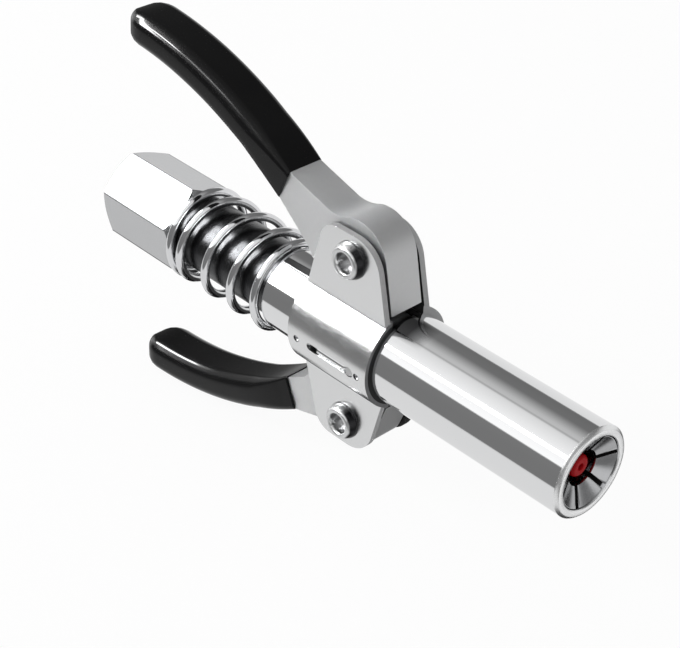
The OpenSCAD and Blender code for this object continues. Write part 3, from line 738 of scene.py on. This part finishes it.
# Pivot rivets: hollow steel rivets through both ears and the lever between them.
# The near end is rolled over into a round collar, and the far end has a low head.
rivet_steel, finish, shader = new_finish("rivet_steel", Metallic=1.0)
marks = grain(finish, (1, 1, 1), 1500.0)
# An attribute paints shade into the colour: the bore, the seam at the ear and a crescent on the collar's
# side go dark.
soot = finish.node("Attribute", {"attribute_name": "soot"}, {}, "Fac")
bare = shades(finish, marks, (0.70, 0.705, 0.71), (0.82, 0.825, 0.83))
shades(finish, soot, bare, (0.03, 0.03, 0.032)).feeds(shader, "Base Color")
(0.24 + 0.1 * marks).feeds(shader, "Roughness")
emboss(finish, shader, marks, 0.05)
rivet_seat = ear_out + 0.02
shade_from, shade_to, shade_soft = 4, 160, 24
bore_shade, seam_shade = 0.55, 0.95
for name, z in (("upper", upper_pivot), ("lower", -lower_pivot)):
    rivet = turned([
        (-rivet_seat - 1.2, 0.0001), (-rivet_seat - 1.2, 2.7), (-rivet_seat - 0.6, 3.3),
        (-rivet_seat, 3.3), (-rivet_seat, 2.0), (rivet_seat, 2.0), (rivet_seat, 3.3),
        (rivet_seat + 0.35, 3.25), (rivet_seat + 1.25, 2.9), (rivet_seat + 1.6, 2.7),
        (rivet_seat + 1.7, 2.45), (rivet_seat + 1.65, 1.95), (rivet_seat + 1.1, 1.75), (0.0, 1.5),
        (0.0, 0.0001),
    ], steps=72)
    ease(rivet, 0.12, segments=3, angle=14.0)
    to_near = Matrix.Rotation(-math.pi / 2, 3, "Z")
    bmesh.ops.rotate(rivet, verts=rivet.verts, cent=(0, 0, 0), matrix=to_near)
    rivet_shade_layer = rivet.verts.layers.float.new("soot")
    # Painted shade: the bore, the seam at the ear and a crescent round the collar's side.
    for vert in rivet.verts:
        reach = math.hypot(vert.co.x, vert.co.z)
        turn = math.degrees(math.atan2(vert.co.x, vert.co.z))
        deep = -rivet_seat - vert.co.y
        shaded = min(max((turn - shade_from) / shade_soft, 0), 1)
        shaded *= min(max((shade_to - turn) / shade_soft, 0), 1)
        if reach < 1.9:
            vert[rivet_shade_layer] = bore_shade
        elif reach > 2.68 and deep < 1.45:
            vert[rivet_shade_layer] = seam_shade if deep < 0.3 else shaded
    bmesh.ops.translate(rivet, verts=rivet.verts, vec=(pivot_x, 0, z))
    piece(
        f"{name}_rivet", rivet, rivet_steel, "sleeve", "rivet_steel", f"{name}_pivot_rivet", crease=40.0,
    )

# Levers: two thick steel levers with a round head, a toe that works the core and a tang for the grip.
# They turn on the rivets. Their plate is duller than the bracket's, and their edges are only just broken.
lever_half = 3.4
waist_r = 7.0
arm_turn = 16
arm_slope = math.radians(arm_turn)
arm_half = 3.0
foot_reach, foot_height, heel_back = 8.2, 8.1, 10.6
toe_z = 5.5
grip_curve_r = 74.0
grip_length = 44.0
tang_lead, tang_short = 3.0, 4.0
tang_half_w, tang_half_t = 3.2, 1.7
lever_plate = metal(
    "lever_plate", (0.72, 0.725, 0.73), (0.79, 0.795, 0.8), 0.48, 0.05, (1, 1, 1), 1800.0, 0.05)
# Each has a name, a side, its pivot's height, its head's radius, the grip's start behind and above the
# pivot and the grip's slope there in degrees.
levers = (
    ("upper", 1, upper_pivot, 6.6, 18.2, 5.8, 35.5), ("lower", -1, lower_pivot, 5.4, 15.5, 3.9, 33.0),
)


def swept(half_w, half_t, radius, pivot, back, rise, slope, first, length, steps):
    """A rounded section swept along the grip's curve: the shape, the curve's centre and the last ring."""
    lean = math.radians(slope)
    shape = bmesh.new()
    bmesh.ops.create_grid(shape, x_segments=1, y_segments=1, size=1.0)
    bmesh.ops.scale(shape, verts=shape.verts, vec=(half_t, half_w, 1))
    if radius:
        bmesh.ops.bevel(
            shape, geom=shape.verts[:], offset=radius, offset_type="OFFSET", segments=6, profile=0.5,
            affect="VERTICES", clamp_overlap=True, material=-1,
        )
    bmesh.ops.delete(shape, geom=shape.faces[:], context="FACES_ONLY")
    start = first / grip_curve_r
    outward = Vector((math.sin(lean - start), 0, math.cos(lean - start)))
    along = Vector((math.cos(lean - start), 0, -math.sin(lean - start)))
    middle = Vector((pivot_x - back, 0, pivot + rise))
    middle -= grip_curve_r * Vector((math.sin(lean), 0, math.cos(lean)))
    centre = middle + grip_curve_r * outward
    place = Matrix((outward, (0, 1, 0), along)).transposed().to_4x4()
    place.translation = centre
    bmesh.ops.transform(shape, matrix=place, verts=shape.verts)
    rear = bmesh.ops.spin(
        shape, geom=shape.verts[:] + shape.edges[:], cent=middle, axis=(0, -1, 0),
        angle=length / grip_curve_r, steps=steps,
    )["geom_last"]
    return shape, middle, rear


for name, up, pivot, head_r, back, rise, slope in levers:
    lean = math.radians(slope)
    normal = Vector((math.sin(lean), math.cos(lean)))
    end = Vector((-back, rise))
    below, above = end - arm_half * normal, end + arm_half * normal
    out = Vector((math.sin(arm_slope), math.cos(arm_slope)))
    along = Vector((math.cos(arm_slope), -math.sin(arm_slope)))
    waist_h = out.dot(above) + waist_r
    waist = waist_h * out - math.sqrt((head_r + waist_r) ** 2 - waist_h ** 2) * along
    head_back = math.degrees(math.atan2(waist.y, waist.x))
    foot_z = foot_height - pivot
    heel_z = foot_z + 0.4 + heel_back * math.tan(math.asin(sleeve_travel / (pivot - toe_z)))
    foot = (foot_reach, foot_z + 1)
    corners = [
        (0, 0, head_r, head_back, touch((0, 0, head_r), foot, 1)), foot, (1.0, foot_z),
        (-1.3, foot_z + 0.2), (-heel_back, heel_z), (-heel_back - 1.0, heel_z + 1.6), tuple(below),
        tuple(above),
        (*waist, waist_r, -90 - arm_turn, head_back - 180),
    ]
    placed = [(part[0] + pivot_x, part[1] + pivot, *part[2:]) for part in corners]
    lever = cut_plate(placed, -lever_half, lever_half)
    ease(lever, 0.09, segments=2, angle=50.0)
    tang, _, _ = swept(
        tang_half_w, tang_half_t, 0, pivot, back, rise, slope, -tang_lead,
        tang_lead + grip_length - tang_short, 20,
    )
    toe = block((pivot_x - 1.3, -2.0, toe_z), (pivot_x + 1.0, 2.0, pivot))
    ease(toe, 0.2)
    lever = carved(lever, [toe, closed(capped(tang))], "UNION")
    bmesh.ops.scale(lever, verts=lever.verts, vec=(1, 1, up))
    piece(
        f"{name}_squeeze_lever", closed(lever), lever_plate, f"{name}_lever", "satin_plate",
        f"{name}_lever",
    )

# Grips: black vinyl dipped over the tangs, glossy, with rounded edges and round tips.
# The dip leaves a very faint waviness, and the long edges are rubbed to a higher polish towards the tip.
grip_half_w, grip_half_t, grip_edge = 4.6, 3.1, 2.2
tip_thick, tip_power = 0.985, 0.6
tip_steps = (15, 30, 45, 58, 70, 80, 87)
rub_band, rub_soft = 22, 3
square_edge, square_reach = 0.75, 10
pinch, pinch_reach = 0.17, 14
mouth_skew = 0.24
grip_vinyl, finish, shader = new_finish(
    "grip_vinyl", Specular_IOR_Level=0.16, Coat_IOR=1.7, Coat_Roughness=0.08)
rubbed = finish.node("Attribute", {"attribute_name": "rubbed"}, {}, "Fac")
rubbed.feeds(shader, "Coat Weight")
ripple = grain(finish, (1, 1, 1), 120.0, 2.0)
speck = grain(finish, (1, 1, 1), 1600.0, 2.0)
shades(finish, ripple, (0.004, 0.004, 0.0042), (0.008, 0.008, 0.0083)).feeds(shader, "Base Color")
(0.12 + 0.1 * ripple + 0.05 * speck).feeds(shader, "Roughness")
emboss(finish, shader, ripple + 0.1 * speck, 0.1, depth=0.0003)
for name, up, pivot, _, back, rise, slope in levers:
    rub_from, rub_turn = (28.0, 47.0) if up > 0 else (22.0, 30.0)
    grip, middle, ring = swept(
        grip_half_w, grip_half_t, grip_edge, pivot, back, rise, slope, 0.0, grip_length - grip_half_w, 40)
    lean = math.radians(slope)
    wide, thick, reached = 1.0, 1.0, 0.0
    for degrees in tip_steps:
        round_off = math.radians(degrees)
        ahead = grip_half_w * math.sin(round_off)
        ring = bmesh.ops.spin(
            grip, geom=ring, cent=middle, axis=(0, -1, 0), angle=(ahead - reached) / grip_curve_r, steps=1,
        )["geom_last"]
        reached = ahead
        new_wide = math.cos(round_off)
        new_thick = tip_thick * math.cos(round_off) ** tip_power
        far = (grip_length - grip_half_w + ahead) / grip_curve_r
        outward = Vector((math.sin(lean - far), 0, math.cos(lean - far)))
        place = Matrix((outward, (0, 1, 0), outward.cross((0, 1, 0)))).transposed().to_4x4()
        place.translation = middle + grip_curve_r * outward
        bmesh.ops.scale(
            grip, verts=[item for item in ring if isinstance(item, bmesh.types.BMVert)],
            vec=(new_thick / thick, new_wide / wide, 1), space=place.inverted(),
        )
        wide, thick = new_wide, new_thick
    rubbed_layer = grip.verts.layers.float.new("rubbed")
    for vert in grip.verts:
        arm = vert.co - middle
        gone = (lean - math.atan2(arm.x, arm.z)) * grip_curve_r
        rise_t = arm.length - grip_curve_r
        past_t = (abs(rise_t) - grip_half_t + grip_edge) / grip_edge
        past_w = (abs(vert.co.y) - grip_half_w + grip_edge) / grip_edge
        if min(past_t, past_w) > -0.001:
            round_edge = math.degrees(math.atan2(max(past_w, 0.0), max(past_t, 0.0)))
            across_edge = max(0.0, 1 - abs(round_edge - rub_turn) / rub_band)
            vert[rubbed_layer] = across_edge * min(1.0, max(0.0, (gone - rub_from) / rub_soft))
            squarer = (grip_edge - square_edge) * max(0.0, 1 - gone / square_reach)
            vert.co += arm.normalized() * math.copysign(squarer * (1 - past_t), rise_t)
            vert.co.y += math.copysign(squarer * (1 - past_w), vert.co.y)
        vert.co.y *= 1 - pinch * max(0.0, 1 - gone / pinch_reach) ** 2
        if gone < 0.01:
            skew = mouth_skew * (grip_half_t + grip_curve_r - arm.length)
            vert.co += skew * Vector((math.cos(lean), 0, -math.sin(lean)))
    ease(closed(capped(grip)), 0.2, segments=3, angle=60.0)
    bmesh.ops.scale(grip, verts=grip.verts, vec=(1, 1, up))
    piece(
        f"{name}_dipped_grip", closed(grip), grip_vinyl, f"{name}_lever", "grip_vinyl", f"{name}_grip",
        crease=50.0,
    )

# Studio: a pale floor just below the lower grip, and a long tent of pale and dark cards round the coupler.
# The tent is seen only in reflections. It gives the chrome its lengthwise bands, and a few very bright
# cards on it give the grips and the core their hard highlights.
floor_z = cad_box[0][2] - 0.0005
floor_shape = bmesh.new()
bmesh.ops.create_grid(floor_shape, x_segments=1, y_segments=1, size=3.0)
bmesh.ops.translate(floor_shape, verts=floor_shape.verts, vec=(0, 0, floor_z))
floor_object = loose(floor_shape, "floor")
floor_paper, finish, shader = new_finish("floor_paper", Base_Color=(0.9, 0.9, 0.9, 1), Roughness=0.9)
path = finish.node("LightPath", {}, {}, "Is Camera Ray")
white = finish.node("Emission", {}, {"Color": (1, 1, 1, 1), "Strength": 1.0})
paper = Finish(finish.tree, shader.outputs[0])
shown = finish.node("MixShader", {}, {0: path * 0.94, 1: paper, 2: white})
shown.feeds(floor_paper.node_tree.nodes["Material Output"], "Surface")
floor_object.data.materials.append(floor_paper)
floor_object.visible_glossy = False

tent_shape = bmesh.new()
bmesh.ops.create_cone(
    tent_shape, cap_ends=False, segments=128, radius1=0.45, radius2=0.45, depth=2.4,
    matrix=Matrix.Rotation(math.pi / 2, 4, "Y"),
)
tent_object = loose(tent_shape, "tent")
tent_cards = bpy.data.materials.new("tent_cards")
tent_cards.use_nodes = True
tent_cards.node_tree.nodes.remove(tent_cards.node_tree.nodes["Principled BSDF"])
finish = Finish(tent_cards.node_tree)
tent_x, tent_y, tent_z = places(finish)
round_tent = finish.sum_of("ARCTAN2", tent_z, tent_y) * (0.5 / math.pi) + 0.5
tent_shades = (
    (-180, 0.19), (-152, 0.19), (-150, 0.72), (-145, 0.75), (-70, 0.75), (-64, 0.9), (-55, 0.98),
    (-32, 0.96), (-25, 0.83), (25, 0.77), (27.5, 0.18), (32, 0.155), (58, 0.17), (63, 0.23), (83, 0.52),
    (90, 0.56), (92, 0.42), (94, 0.42), (97, 0.72), (101, 0.78), (125, 0.93), (137, 1.04), (157.5, 1.1),
    (160, 0.2), (180, 0.19),
)
bands = finish.node("ValToRGB", {
    "stops": [((angle + 180) / 360, (shade,) * 3) for angle, shade in tent_shades],
}, {"Fac": round_tent})
tent_shade = shades(finish, fade(finish, tent_x, 0.5, 0.58), bands, (0.26, 0.26, 0.26))


def card(low_turn, high_turn, low_x, high_x, soft_turn=2.0, soft_x=0.015):
    """A mask that is 1 on a card between two turns about the axis and two places along it."""
    edges = []
    for value, low, high, soft in (
        (round_tent, (low_turn + 180) / 360, (high_turn + 180) / 360, soft_turn / 360),
        (tent_x, low_x, high_x, soft_x),
    ):
        edges.append(fade(finish, value, low - soft, low + soft))
        edges.append(fade(finish, value, high + soft, high - soft))
    return edges[0] * edges[1] * edges[2] * edges[3]


tent_shade = shades(finish, card(-70, 88, -3.0, -0.5, 8.0, 0.05), tent_shade, (0.16, 0.16, 0.16))
tent_shade = shades(finish, card(-100, -18, -0.02, 0.29, 6.0, 0.02), tent_shade, (0.04, 0.04, 0.04))
lit = 1.0 + 30.0 * card(99, 158, -0.42, -0.318) + 20.0 * card(94, 116, -0.78, -0.42)
lit = lit + 26.0 * card(133.5, 138.5, -0.318, -0.05, 1.5, 0.04)
bright = finish.node("VectorMath", {"operation": "SCALE"}, {0: tent_shade, "Scale": lit})
glow = finish.node("Emission", {}, {"Color": bright, "Strength": 1.0})
glow.feeds(tent_cards.node_tree.nodes["Material Output"], "Surface")
tent_object.data.materials.append(tent_cards)
tent_object.visible_camera = False
tent_object.visible_diffuse = False
tent_object.visible_transmission = False
tent_object.visible_shadow = False

# Lamp and world: one long soft box above the near side behind the hex, and an even white surround.
key_data = bpy.data.lights.new("soft_box", "AREA")
key_data.shape = "RECTANGLE"
key_data.size = 0.36
key_data.size_y = 0.1
key_data.energy = 1.2
key = bpy.data.objects.new("soft_box", key_data)
key_turn = math.radians(141)
key_x, key_far = -0.27, 0.4
key_aim = -Vector((0, math.cos(key_turn), math.sin(key_turn)))
key_side = key_aim.cross((1, 0, 0))
key.matrix_world = Matrix(((1, 0, 0), key_side, -key_aim)).transposed().to_4x4()
key.location = Vector((key_x, 0, 0)) - key_far * key_aim
key.visible_glossy = False
bpy.context.collection.objects.link(key)

world = bpy.data.worlds.new("surround")
world.use_nodes = True
bpy.context.scene.world = world
finish = Finish(world.node_tree)
camera_ray = finish.node("LightPath", {}, {}, "Is Camera Ray")
glossy_ray = finish.node("LightPath", {}, {}, "Is Glossy Ray")
clear_ray = finish.node("LightPath", {}, {}, "Is Transmission Ray")
seen = finish.sum_of("MINIMUM", camera_ray + glossy_ray + clear_ray, 1.0)
surround = world.node_tree.nodes["Background"]
shades(finish, seen, (0.6, 0.6, 0.6), (1, 1, 1)).feeds(surround, "Color")
bpy.context.scene.view_settings.view_transform = "Standard"
